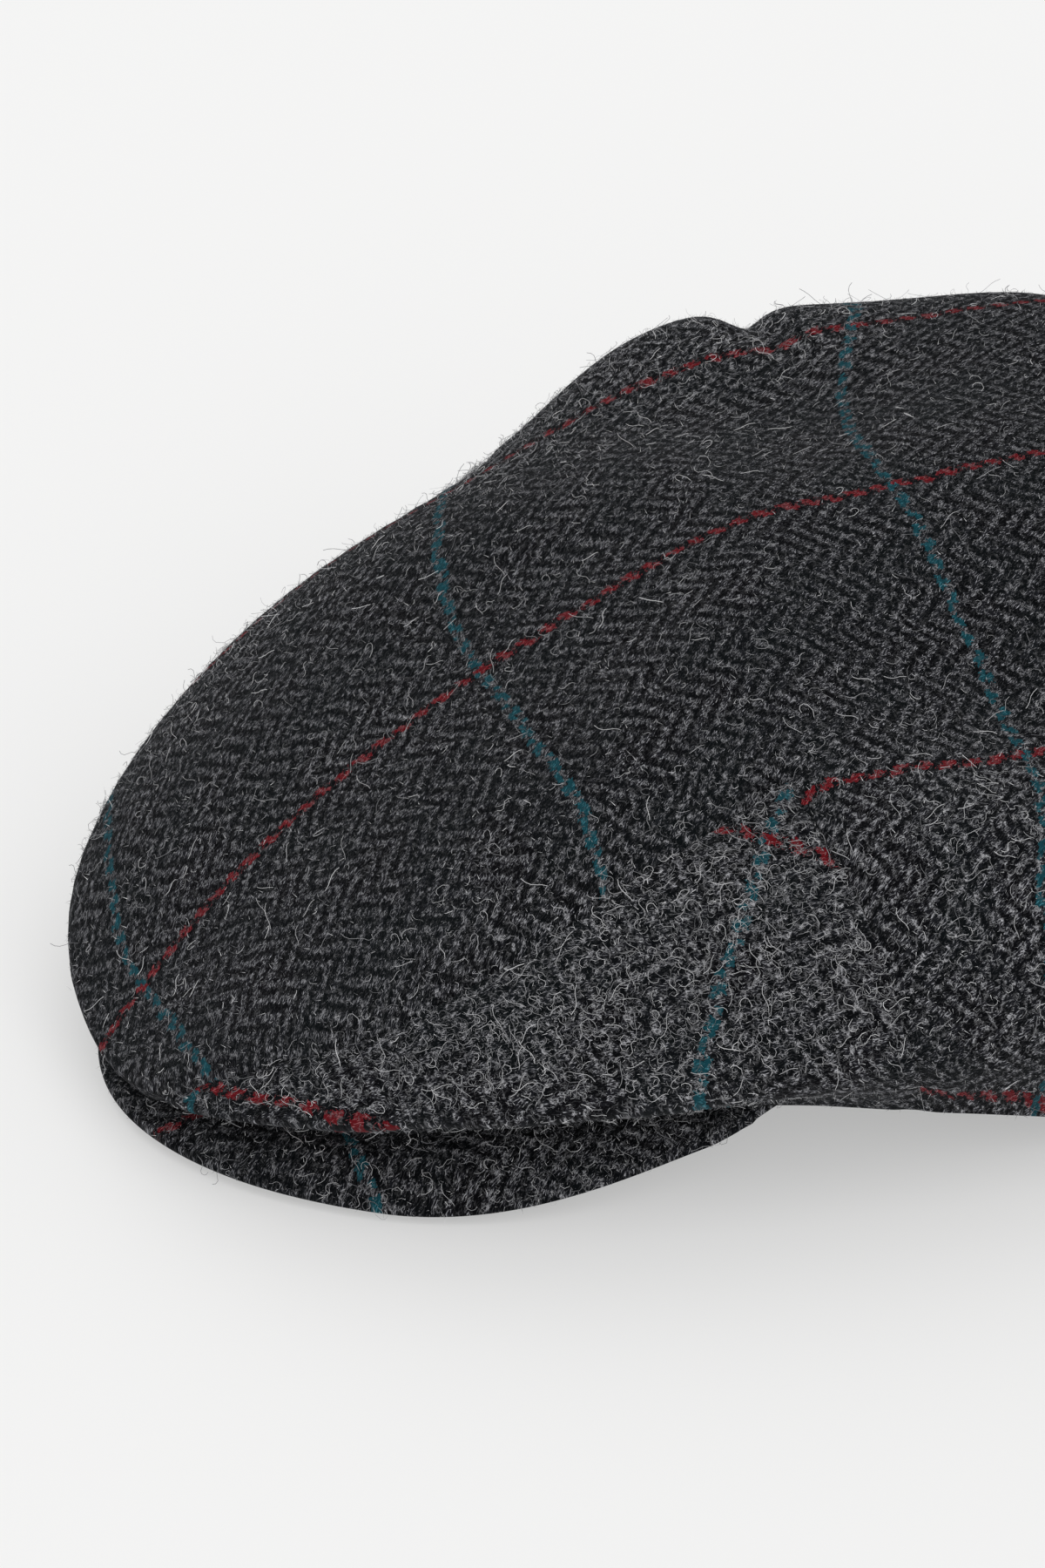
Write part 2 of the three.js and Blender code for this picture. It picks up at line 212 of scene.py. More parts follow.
def top_threads(turn, climb):
    """Where a place on the crown lies in the flat cloth: across it from the centre, and along it."""
    row_count, slant_count, end_row = 150, 140, 89.6
    halvings, smoothing, below_steps = 26, 13, 6
    rim_turns = np.linspace(0, 180, 361)
    rim_climb, rim_radius = widest(rim_turns)
    padded_climb = np.pad(rim_climb, smoothing // 2, mode="reflect")
    rim_climb = np.convolve(padded_climb, np.ones(smoothing) / smoothing, mode="valid")
    rim_x = rim_radius * np.sin(np.radians(rim_turns))
    rim_y = -rim_radius * np.cos(np.radians(rim_turns))
    half_long = (rim_y[-1] - rim_y[0]) / 2
    rows = rim_y[0] + half_long * (1 + np.sin(np.radians(np.linspace(-end_row, end_row, row_count))))
    slants = np.radians(np.linspace(0, 90, slant_count))
    widths = np.interp(rows, rim_y, rim_x)
    grid_x = widths[:, None] * np.sin(slants)
    grid_y = np.broadcast_to(rows[:, None], grid_x.shape)
    grid_turn = np.degrees(np.arctan2(grid_x, -grid_y))
    low = np.interp(grid_turn, rim_turns, rim_climb)
    high = np.full(grid_x.shape, float(top_station))
    for _ in range(halvings):
        half = (low + high) / 2
        inside = flat_crown(grid_turn, half)[..., 0] < np.hypot(grid_x, grid_y)
        high = np.where(inside, half, high)
        low = np.where(inside, low, half)
    across = {}
    for side in (-1, 1):
        line = crown_point(side * grid_turn, (low + high) / 2)
        steps = np.linalg.norm(np.diff(line, axis=1), axis=-1)
        across[side] = side * np.concatenate([np.zeros((row_count, 1)), np.cumsum(steps, axis=1)], axis=1)
    centre = crown_point(np.where(rows < 0, 0, 180), (low + high)[:, 0] / 2)
    centre_steps = np.linalg.norm(np.diff(centre, axis=0), axis=1)
    along_rows = np.concatenate([[0], np.cumsum(centre_steps)])
    along_rows -= np.interp(middle_teal_y, rows, along_rows)

    upper = np.maximum(climb, np.interp(np.abs(turn), rim_turns, rim_climb))
    radius = flat_crown(turn, upper)[..., 0]
    x = radius * np.sin(np.radians(turn))
    y = np.clip(-radius * np.cos(np.radians(turn)), rows[0], rows[-1])
    row = np.interp(y, rows, np.arange(row_count))
    slant = np.arcsin(np.clip(np.abs(x) / np.interp(y, rows, widths), 0, 1))
    column = slant / slants[-1] * (slant_count - 1)
    k = np.minimum(row.astype(int), row_count - 2)
    m = np.minimum(column.astype(int), slant_count - 2)
    f, g = row - k, column - m
    sides = {}
    for side, table in across.items():
        near_row = table[k, m] * (1 - g) + table[k, m + 1] * g
        next_row = table[k + 1, m] * (1 - g) + table[k + 1, m + 1] * g
        sides[side] = near_row * (1 - f) + next_row * f
    u = np.where(x < 0, sides[-1], sides[1])
    pull = right_pull * np.clip(-x, 0, right_pull_reach) ** 2
    sag = left_sag * np.clip(x - left_sag_start, 0, left_sag_reach) ** 2
    v = np.interp(y - pull + sag, rows, along_rows)

    below = np.zeros(u.shape)
    last = crown_point(turn, upper)
    for share in np.linspace(0, 1, below_steps + 1)[1:]:
        point = crown_point(turn, upper + (np.minimum(climb, upper) - upper) * share)
        below += np.linalg.norm(point - last, axis=-1)
        last = point
    fade_in = np.clip((turn - rim_front_turn) / rim_front_fade, 0, 1)
    fade_out = np.clip((rim_back_turn - turn) / rim_back_fade, 0, 1)
    left_rim = (turn > 0) * fade_in * fade_out
    tucked_in = (radius - flat_crown(turn, np.minimum(climb, upper))[..., 0]) * mm
    below = below - (1 - rim_ease) * left_rim * np.maximum(below - rim_ease_start, 0)
    sine, cosine = np.sin(np.radians(turn)), np.cos(np.radians(turn))
    u = u + below * sine * np.abs(sine)
    v = v - below * cosine * np.abs(cosine) - tucked_in_drag * left_rim * tucked_in
    back = np.clip((y - back_y[0]) / (back_y[1] - back_y[0]), 0, 1)
    right_skew = 1 + right_back_skew * back**2 * (3 - 2 * back)
    u = u * np.where(u > 0, np.interp(y, left_stretch_y, left_stretch), right_skew)
    past = np.maximum(u - left_side_start, 0)
    ahead = np.clip(left_side_turn - turn, -left_side_reach, left_side_reach)
    ease = left_side_ease + left_side_lean * ahead
    return u - (1 - ease) * past, v


def distance_to_line(points, line):
    """How far points lie from a line of straight steps, and how far along it their nearest place is."""
    nearest = np.full(points.shape[:-1], np.inf)
    run = np.zeros(points.shape[:-1])
    so_far = 0
    no_length = 1e-9
    for start, end in zip(line[:-1], line[1:]):
        step = end - start
        length = np.linalg.norm(step)
        if length < no_length:
            continue
        share = np.clip((points - start) @ step / length**2, 0, 1)
        apart = np.linalg.norm(points - start - share[..., None] * step, axis=-1)
        closer = apart < nearest
        run = np.where(closer, so_far + share * length, run)
        nearest = np.where(closer, apart, nearest)
        so_far += length
    return nearest, run


def round_edge(apart, wall):
    """How far a face sinks towards the middle of its wall, so that the wall ends in a half round."""
    half = wall / 2
    in_from_edge = np.minimum(apart, half)
    return half - np.sqrt(np.maximum(half**2 - (half - in_from_edge) ** 2, 0))


def soft_relief(points, size, height, seed):
    """Slow random swells of a cloth that isn't stretched, from waves in random directions."""
    waves = np.random.default_rng(seed)
    swell = np.zeros(points.shape[:-1])
    count, shortest, longest = 9, 0.7, 1.5
    for _ in range(count):
        direction = unit(waves.normal(size=3))
        phase = waves.uniform(0, 2 * math.pi)
        length = size * waves.uniform(shortest, longest)
        swell += np.sin(points @ direction * 2 * math.pi / length + phase)
    return swell * height / math.sqrt(count)


# The left seams are drawn in harder, because the crown has slumped there. Off the hem, a soft ridge and
# puckers lie beside a seam's groove, and the puckers are highest near its apex.
seam_pull = {1: 1, -1: 0.4}
groove_depth, groove_width = 0.5 * mm, 2.4 * mm
ridge_height, ridge_off_seam, ridge_width = 0.3 * mm, 5 * mm, 2.6 * mm
pucker_height, pucker_length, pucker_width = 0.45 * mm, 7.5 * mm, 7 * mm
least_pucker, apex_reach, ridge_climb = 0.25, 38 * mm, 0.6


def seam_sink(points, climb, side):
    """How far the cloth sinks at a sewn seam, less where its ridge and puckers rise beside it."""
    apart, run = distance_to_line(points, seams[side])
    groove = groove_depth * np.exp(-((apart / groove_width) ** 2))
    ridge = ridge_height * np.exp(-(((apart - ridge_off_seam) / ridge_width) ** 2))
    near_apex = np.exp(-((np.linalg.norm(points - apexes[side], axis=-1) / apex_reach) ** 2))
    ripple = np.sin(run * 2 * math.pi / pucker_length) * np.exp(-((apart / pucker_width) ** 2))
    pucker = pucker_height * ripple * (least_pucker + near_apex)
    off_hem = np.clip(climb / ridge_climb, 0, 1)
    return seam_pull[side] * (groove - off_hem * (ridge - pucker))


# The outer face of each piece of cloth and the way it faces, for the wool that stands out of it. A little of
# the unsunk cloth's direction is mixed in, for the places where the face has no slope of its own.
cloth_faces = {}
unsunk_share = 0.05
flat_size = 0.3


def folded_piece(name, outer, normal, sink, wall, edge_apart, edge_share, threads):
    """A closed piece from one flat grid: its outer face, then its inner face, joined at their edges."""
    columns, rows = (count - 1 for count in outer.shape[:2])
    bpy.ops.mesh.primitive_grid_add(x_subdivisions=columns, y_subdivisions=2 * rows + 1, size=flat_size)
    piece = bpy.context.object
    piece.name = name
    rounding = edge_share * round_edge(edge_apart, wall)
    face = outer - normal * (sink + rounding)[..., None]
    slope = unit(np.cross(np.gradient(face, axis=0), np.gradient(face, axis=1)))
    slope = slope * np.sign((slope * normal).sum(-1, keepdims=True))
    cloth_faces[name] = face, unit(slope + unsunk_share * normal)
    back = outer - normal * (sink + wall - rounding)[..., None]
    places = np.concatenate([face, back[:, ::-1]], axis=1).transpose(1, 0, 2)
    mesh = piece.data
    mesh.vertices.foreach_set("co", places.reshape(-1).astype(np.float32))
    lie = np.stack([*threads, edge_apart], -1)
    lie = np.concatenate([lie, lie[:, ::-1]], axis=1).transpose(1, 0, 2)
    layer = mesh.attributes.new("threads", "FLOAT_VECTOR", "POINT")
    layer.data.foreach_set("vector", lie.reshape(-1).astype(np.float32))
    mesh.update()
    bpy.ops.object.mode_set(mode="EDIT")
    bpy.ops.mesh.select_all(action="SELECT")
    bpy.ops.mesh.remove_doubles(threshold=0.01 * mm)
    bpy.ops.mesh.dissolve_degenerate(threshold=0.001 * mm)
    bpy.ops.mesh.normals_make_consistent(inside=False)
    bpy.ops.object.mode_set(mode="OBJECT")
    bpy.ops.object.shade_smooth()
    bpy.ops.object.origin_set(type="ORIGIN_CURSOR")
    bpy.ops.object.select_all(action="DESELECT")
    return piece


column_spacing = 2.1 * mm
top_rows, edge_crowding = 84, 1.6
corner_turns = [-180, -seam_back, -seam_apex, -seam_front, seam_front, seam_apex, seam_back, 180]
edge_columns = [edge_turns(a, b, column_spacing) for a, b in zip(corner_turns[:-1], corner_turns[1:])]
hem_turns = np.concatenate([edge_columns[0], *[columns[1:] for columns in edge_columns[1:]]])
down_to_edge = np.linspace(1, 0, top_rows + 1) ** edge_crowding
even_turns = np.linspace(-180, 180, len(hem_turns))
relax = down_to_edge**2 * (3 - 2 * down_to_edge)
top_turn = hem_turns[:, None] + (even_turns - hem_turns)[:, None] * relax
hem_climb = seam_climb(hem_turns)[:, None]
top_climb = hem_climb + (top_station - hem_climb) * down_to_edge
top_outer = crown_point(top_turn, top_climb)


def seam_turns(side):
    """Turns at even steps along a side panel's two seams, from the front hem to the rim."""
    front = edge_turns(side * seam_front, side * seam_apex, column_spacing)
    back = edge_turns(side * seam_apex, side * seam_back, column_spacing)
    return np.concatenate([front, back[1:]])


seams, apexes = {}, {}
for side in (-1, 1):
    seams[side] = crown_point(seam_turns(side), seam_climb(seam_turns(side)))
    apexes[side] = crown_point(side * seam_apex, seam_climb(side * seam_apex))

# A hem is fully round. A sewn edge is only half round, because the other panel's edge lies against it, and
# where a seam ends at the hem the edges are nearly square, so that no notch shows there.
sewn_edge_share = 0.5
sewn_climb = 0.12
square_share, square_reach = 0.85, 1.6


def edge_roundness(turns, sewn):
    """How round a panel's edge is at each turn, from 0 to 1. Sewn is 1 at a seam and 0 at the hem."""
    off_seam_end = np.minimum(np.abs(np.abs(turns) - seam_back), np.abs(np.abs(turns) - seam_front))
    seam_end = np.exp(-((off_seam_end / square_reach) ** 2))
    return (1 - (1 - sewn_edge_share) * sewn) * (1 - square_share * seam_end[:, None])


top_swell_size, top_swell_height, top_swell_fade = 48 * mm, 0.35 * mm, 20 * mm
top_edge_apart = distance_to_line(top_outer, top_outer[:, -1])[0]
top_sink = sum(seam_sink(top_outer, top_climb, side) for side in (-1, 1))
top_swell = soft_relief(top_outer, top_swell_size, top_swell_height, seed=4)
top_sink = top_sink - top_swell * np.minimum(top_edge_apart / top_swell_fade, 1)
top_sewn = np.clip(hem_climb / sewn_climb, 0, 1)
top_panel = folded_piece(
    "sewn_top_panel",
    top_outer,
    crown_normal(top_turn, top_climb),
    top_sink,
    cloth_wall,
    top_edge_apart,
    edge_roundness(hem_turns, top_sewn),
    top_threads(top_turn, top_climb),
)

# The tweed's colours and counts. More pale fibres and curls show towards the cap's two sides.
ends_to_check, picks_to_check, ends_per_column = 64, 75, 6
dark_weft, grey_warp, dark_patch = (0.0022, 0.0023, 0.0030), (0.0088, 0.0090, 0.0112), (0.005, 0.008, 0.009)
red_dyes = (0.10, 0.005, 0.008), (0.37, 0.014, 0.018)
teal_dyes = (0.006, 0.042, 0.055), (0.04, 0.18, 0.225)
fibre_grey, curl_grey, sheen_grey = (0.36, 0.362, 0.388), (0.60, 0.602, 0.632), (0.62, 0.64, 0.68, 1)
side_fuzz_start, side_fuzz_full = 40 * mm, 82 * mm


def tweed():
    """Wool tweed in a herringbone weave: grey warp on dark weft, with pairs of red ends and teal picks."""
    end_pitch, pick_pitch = red_apart / ends_to_check, teal_apart / picks_to_check
    material = bpy.data.materials.new("charcoal_tweed")
    material.use_nodes = True
    nodes, links = material.node_tree.nodes, material.node_tree.links
    wool = nodes["Principled BSDF"]

    def join(value, socket):
        if isinstance(value, bpy.types.NodeSocket):
            links.new(value, socket)
        else:
            socket.default_value = value

    def maths(operation, *values):
        node = nodes.new("ShaderNodeMath")
        node.operation = operation
        for value, socket in zip(values, node.inputs):
            join(value, socket)
        return node.outputs[0]

    def between(value, low, high):
        node = nodes.new("ShaderNodeMapRange")
        node.interpolation_type = "SMOOTHSTEP"
        for part, socket in zip((value, low, high), node.inputs):
            join(part, socket)
        return node.outputs["Result"]

    def blend(share, first, second):
        node = nodes.new("ShaderNodeMix")
        node.data_type = "RGBA"
        join(share, node.inputs["Factor"])
        join((*first, 1) if isinstance(first, tuple) else first, node.inputs[6])
        join((*second, 1) if isinstance(second, tuple) else second, node.inputs[7])
        return node.outputs[2]

    def grain(length, width, slant, detail=1.0, place=0.0):
        turned = nodes.new("ShaderNodeMapping")
        turned.vector_type = "TEXTURE"
        turned.inputs["Location"].default_value = (place, place, 0)
        turned.inputs["Rotation"].default_value = (0, 0, math.radians(slant))
        turned.inputs["Scale"].default_value = (length, width, 1)
        links.new(cloth.outputs["Vector"], turned.inputs["Vector"])
        node = nodes.new("ShaderNodeTexNoise")
        node.noise_dimensions = "2D"
        node.inputs["Scale"].default_value = 1
        node.inputs["Detail"].default_value = detail
        links.new(turned.outputs["Vector"], node.inputs["Vector"])
        return node.outputs[0]

    def curls(length, width, slant, thickness, place):
        """Fine curly fibres: the lines along which a smooth grain is at its middle value."""
        off_middle = maths("ABSOLUTE", maths("SUBTRACT", grain(length, width, slant, 1.5, place), 0.5))
        return maths("SUBTRACT", 1, between(off_middle, 0, thickness))

    def larger(*values):
        found = values[0]
        for value in values[1:]:
            found = maths("MAXIMUM", found, value)
        return found

    cloth = nodes.new("ShaderNodeAttribute")
    cloth.attribute_name = "threads"
    parts = nodes.new("ShaderNodeSeparateXYZ")
    links.new(cloth.outputs["Vector"], parts.inputs[0])
    across, along = parts.outputs["X"], parts.outputs["Y"]

    # The yarns sway a little, and their edges are frayed.
    sway_across = maths("SUBTRACT", grain(9 * mm, 7 * mm, 0), 0.5)
    sway_along = maths("SUBTRACT", grain(9 * mm, 8 * mm, 25, place=0.3), 0.5)
    fray_across = maths("SUBTRACT", grain(1.2 * mm, 0.5 * mm, 60, place=0.1), 0.5)
    fray_along = maths("SUBTRACT", grain(1.2 * mm, 0.5 * mm, -40, place=0.2), 0.5)
    across = maths("MULTIPLY_ADD", fray_across, 1.5 * mm, across)
    across = maths("MULTIPLY_ADD", sway_across, 2.0 * mm, across)
    along = maths("MULTIPLY_ADD", fray_along, 1.5 * mm, along)
    along = maths("MULTIPLY_ADD", sway_along, 2.4 * mm, along)
    end_place = maths("DIVIDE", across, end_pitch)
    pick_place = maths("DIVIDE", along, pick_pitch)
    end, pick = maths("FLOOR", end_place), maths("FLOOR", pick_place)
    column = maths("PINGPONG", end, ends_per_column)
    shed = maths("FLOORED_MODULO", maths("ADD", pick, column), 4)
    warp_up = maths("LESS_THAN", shed, 1.5)
    weft_up = maths("SUBTRACT", 1, warp_up)
    red_end = maths("LESS_THAN", maths("FLOORED_MODULO", maths("ADD", end, 1), ends_to_check), 1.5)
    teal_pick = maths("LESS_THAN", maths("FLOORED_MODULO", maths("ADD", pick, 1), picks_to_check), 1.5)

    # Combed fibres lie over the yarns, mostly over the warp, with finer curls here and there.
    strands = larger(
        grain(1.5 * mm, 0.23 * mm, 122, 1.0, 0.4),
        grain(1.2 * mm, 0.21 * mm, 104, 1.0, 0.5),
        grain(1.3 * mm, 0.23 * mm, 142, 1.0, 0.6),
    )
    strands = between(strands, 0.63, 0.79)
    fine_curls = larger(
        curls(1.9 * mm, 0.9 * mm, 35, 0.038, 0.7),
        curls(2.1 * mm, 0.85 * mm, 95, 0.038, 0.8),
        curls(1.7 * mm, 1.0 * mm, -30, 0.034, 0.9),
    )
    here_and_there = between(grain(1.6 * mm, 1.3 * mm, 10, 1.5, 1.1), 0.49, 0.65)
    on_cap = nodes.new("ShaderNodeTexCoord")
    on_cap_parts = nodes.new("ShaderNodeSeparateXYZ")
    links.new(on_cap.outputs["Object"], on_cap_parts.inputs[0])
    towards_side = between(maths("ABSOLUTE", on_cap_parts.outputs["X"]), side_fuzz_start, side_fuzz_full)
    patches = between(grain(19 * mm, 14 * mm, 20, 2.0, 1.2), 0.3, 0.7)
    row_grain = grain(0.9 * mm, 0.9 * mm, 0, 1.0, 1.3)
    row_show = maths("MULTIPLY_ADD", warp_up, 0.66, maths("MULTIPLY", row_grain, 0.5))
    pale_row = between(row_show, 0.36, 0.9)
    strand_show = maths("MULTIPLY", strands, maths("MULTIPLY_ADD", pale_row, 0.9, 0.1))
    strand_show = maths("MULTIPLY", strand_show, maths("MULTIPLY_ADD", patches, -0.4, 1.1))
    strand_show = maths("MULTIPLY", strand_show, maths("MULTIPLY_ADD", towards_side, 0.06, 0.94))
    curl_place = maths("MULTIPLY", here_and_there, maths("MULTIPLY_ADD", pale_row, 0.7, 0.3))
    curl_show = maths("MULTIPLY", fine_curls, curl_place)

    yarn = blend(pale_row, dark_weft, grey_warp)
    yarn = blend(maths("MULTIPLY", patches, 0.35), yarn, dark_patch)
    red_show = between(maths("MULTIPLY_ADD", warp_up, 0.62, maths("MULTIPLY", strands, 0.45)), 0.22, 0.66)
    red_cover = maths("MULTIPLY", red_end, red_show)
    yarn = blend(red_cover, yarn, blend(strands, *red_dyes))
    teal_show = between(maths("MULTIPLY_ADD", weft_up, 0.75, maths("MULTIPLY", strands, 0.3)), 0.4, 0.8)
    teal_cover = maths("MULTIPLY", teal_pick, teal_show)
    yarn = blend(teal_cover, yarn, blend(strands, *teal_dyes))
    checked = maths("MAXIMUM", red_cover, teal_cover)
    fibre_cover = maths("MULTIPLY", strand_show, maths("MULTIPLY_ADD", checked, -0.7, 1))
    yarn = blend(fibre_cover, yarn, fibre_grey)
    curl_cover = maths("MULTIPLY", curl_show, maths("MULTIPLY_ADD", checked, -0.6, 0.9))
    curl_cover = maths("MULTIPLY", curl_cover, maths("MULTIPLY_ADD", towards_side, 0.38, 0.33))
    yarn = blend(curl_cover, yarn, curl_grey)
    links.new(yarn, wool.inputs["Base Color"])

    # Each yarn is round, and the fibres and curls stand up from it.
    end_round = maths("SINE", maths("MULTIPLY", maths("FRACT", end_place), math.pi))
    pick_round = maths("SINE", maths("MULTIPLY", maths("FRACT", pick_place), math.pi))
    lift = maths("MULTIPLY_ADD", warp_up, maths("SUBTRACT", end_round, pick_round), pick_round)
    relief = maths("MULTIPLY_ADD", strands, 0.5, maths("MULTIPLY", lift, 0.45))
    relief = maths("MULTIPLY_ADD", curl_show, 0.45, relief)
    bump = nodes.new("ShaderNodeBump")
    bump.inputs["Strength"].default_value = 0.85
    bump.inputs["Distance"].default_value = 0.5 * mm
    links.new(relief, bump.inputs["Height"])
    links.new(bump.outputs["Normal"], wool.inputs["Normal"])
    wool.inputs["Roughness"].default_value = 0.95
    wool.inputs["Specular IOR Level"].default_value = 0.03
    wool.inputs["Sheen Weight"].default_value = 0.05
    wool.inputs["Sheen Roughness"].default_value = 0.3
    wool.inputs["Sheen Tint"].default_value = sheen_grey
    return material


cloth_material = tweed()
top_panel.data.materials.append(cloth_material)
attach(top_panel, "root")
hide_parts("top_panel")

# Side panels. Each is a crescent of the same tweed, cut with its check at a slant to the top panel's. It runs
# from a point beside the centre front to the temple and is sewn to the top panel along both upper edges.
side_rows = 40
side_swell_size, side_swell_height, side_swell_fade = 34 * mm, 0.3 * mm, 14 * mm
side_apex_spot = np.array([71.5, -34, 77]) * mm
down_the_side, side_stretch_down = unit(np.array([20.0, -21, -31])), 1.023
back_along_side, side_stretch_back = unit(np.array([15.0, 19, -3])), 0.94
side_tuck_drag, side_tuck_turn, side_tuck_fade = 0.8, 58, 14


def side_threads(points, turn, climb, side):
    """A side panel's threads run straight from the place where its check lines cross near the apex."""
    out = (points - plan_shift) * [side, 1, 1] - side_apex_spot
    turn = np.abs(turn)
    wide_climb, wide_radius = widest(turn[:, 0])
    tucked_in = np.maximum(wide_radius[:, None] - flat_crown(turn, climb)[..., 0], 0) * mm
    at_rear = np.clip((turn - side_tuck_turn) / side_tuck_fade, 0, 1)
    tucked_in = tucked_in * (climb < wide_climb[:, None]) * at_rear
    down = side_stretch_down * out @ down_the_side + side_tuck_drag * tucked_in
    return down, side_stretch_back * out @ back_along_side


for side, side_name in ((1, "left"), (-1, "right")):
    turns = seam_turns(side)
    up_to_seam = (1 - np.cos(np.linspace(0, math.pi, side_rows + 1))) / 2
    side_climb = seam_climb(turns)[:, None] * up_to_seam
    side_turn = np.broadcast_to(turns[:, None], side_climb.shape)
    side_outer = crown_point(side_turn, side_climb)
    panel_edge = np.concatenate([side_outer[:, 0], side_outer[::-1, -1]])
    side_edge_apart = distance_to_line(side_outer, panel_edge)[0]
    side_sink = seam_sink(side_outer, side_climb, side)
    side_swell = soft_relief(side_outer, side_swell_size, side_swell_height, seed=8)
    side_sink = side_sink - side_swell * np.minimum(side_edge_apart / side_swell_fade, 1)
    side_sewn = np.clip(seam_climb(turns) / sewn_climb, 0, 1)[:, None] * up_to_seam
    side_panel = folded_piece(
        f"sewn_{side_name}_side_panel",
        side_outer,
        crown_normal(side_turn, side_climb),
        side_sink,
        cloth_wall,
        side_edge_apart,
        edge_roundness(turns, side_sewn),
        side_threads(side_outer, side_turn, side_climb, side),
    )
    side_panel.data.materials.append(cloth_material)
    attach(side_panel, "root")
    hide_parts(f"{side_name}_side_panel")

# Peak. A bent stiff board covered in the same tweed, with its warp front to back. The crown's front hem is
# held down on it, and its inner edge lies against the forehead.

# Its sizes are in millimetres, and its turns in degrees from the centre front.
peak_board = 3.2
peak_half_width, peak_back_y, peak_deep = 74, -35, 102
forehead_half_width, forehead_back_y, forehead_deep, forehead_slope = 66, -30, 56, 0.15
peak_arch = 1.5
peak_lift, lift_start, lift_end = 20, 29, 75
peak_tuck_start, peak_end, peak_tip = 58, 69, 2
seat_gap = 0.8
peak_columns, peak_rows = 210, 44


def ellipse_radius(turn, half_width, back_y, deep):
    """The radius at which the ray at a turn meets an ellipse whose middle lies on the centre line."""
    across, ahead = np.sin(np.radians(turn)) / half_width, np.cos(np.radians(turn)) / deep
    off = back_y / deep
    a = across**2 + ahead**2
    b = 2 * ahead * off
    return (-b + np.sqrt(b * b - 4 * a * (off * off - 1))) / (2 * a)


def peak_point(turn, inward):
    """A point on the peak's upper face, from its outer edge at 0 to its inner edge at 1."""
    edge = section_at(turn)[1]
    outer_radius = ellipse_radius(turn, peak_half_width, peak_back_y, peak_deep)
    inner_radius = ellipse_radius(turn, forehead_half_width, forehead_back_y, forehead_deep)
    ramp = np.clip((np.abs(turn) - lift_start) / (lift_end - lift_start), 0, 1)
    lift = peak_lift * ramp**2 * (3 - 2 * ramp)
    arch = peak_arch * np.cos(np.minimum(np.abs(turn) / lift_start, 1) * math.pi / 2)
    seat_height = edge[..., 1] - seat_gap
    edge_height = np.minimum(lift + arch + peak_board, seat_height)
    tuck = np.clip((np.abs(turn) - peak_tuck_start) / (peak_end - peak_tuck_start), 0, 1)
    cut_radius = outer_radius + (inner_radius + peak_tip - outer_radius) * tuck**2 * (3 - 2 * tuck)
    radius = cut_radius + (inner_radius - cut_radius) * inward
    to_seat = (outer_radius - radius) / (outer_radius - edge[..., 0])
    rise = np.sin(np.minimum(to_seat, 1) * math.pi / 2)
    slope = forehead_slope * np.maximum(edge[..., 0] - radius, 0)
    height = edge_height + (seat_height - edge_height) * rise + slope
    angle = np.radians(turn)
    return np.stack([radius * np.sin(angle), -radius * np.cos(angle), height], -1) * mm + plan_shift


peak_turn, peak_inward = np.meshgrid(
    np.linspace(-peak_end, peak_end, peak_columns + 1),
    (1 - np.cos(np.linspace(0, math.pi, peak_rows + 1))) / 2,
    indexing="ij",
)
peak_outer = peak_point(peak_turn, peak_inward)
peak_across = np.gradient(peak_outer, axis=0)
peak_in = np.gradient(peak_outer, axis=1)
peak_normal = unit(np.cross(peak_across, peak_in))
peak_rim = np.concatenate(
    [peak_outer[:, 0], peak_outer[-1, 1:], peak_outer[-2::-1, -1], peak_outer[0, -2::-1]]
)
peak_edge_apart = distance_to_line(peak_outer, peak_rim)[0]
peak_red_x, peak_teal_y = 18 * mm, -103.5 * mm
peak_place = peak_outer - plan_shift
peak_threads = peak_place[..., 0] - peak_red_x, peak_place[..., 1] - peak_teal_y
peak = folded_piece(
    "covered_peak",
    peak_outer,
    peak_normal,
    np.zeros(peak_turn.shape),
    peak_board * mm,
    peak_edge_apart,
    1,
    peak_threads,
)
peak.data.materials.append(cloth_material)
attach(peak, "root")
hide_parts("peak")

# Loose wool. The tweed is fulled but not shorn, so pale hairs stand out of its weave all over, each with one
# end held among the yarns. Most are a short straight nap, tapered to a point, and some are longer and curly.
hair_thickness = 0.075 * mm
nap_thickness, nap_length = 0.1 * mm, 1 * mm

# The two bends of each kind of curl: radius in millimetres, angle in degrees, and steps.
curl_bends = [
    ((1.1, 110, 3), (0.8, -120, 3)),
    ((1.6, 75, 2), (0.7, 170, 4)),
    ((0.7, 250, 4), (1.8, -50, 2)),
    ((2.6, 40, 3), (1.9, -65, 3)),
]
curl_shapes = []


def shape_of(hair):
    """The corners and faces of a hair modelled in edit mode. Only copies of it stay, so it is deleted."""
    bpy.ops.mesh.normals_make_consistent(inside=False)
    bpy.ops.object.mode_set(mode="OBJECT")
    bpy.ops.object.transform_apply(location=False, rotation=True, scale=False)
    corners = np.array([corner.co for corner in hair.data.vertices])
    faces = [tuple(face.vertices) for face in hair.data.polygons]
    bpy.ops.object.delete()
    return corners, faces


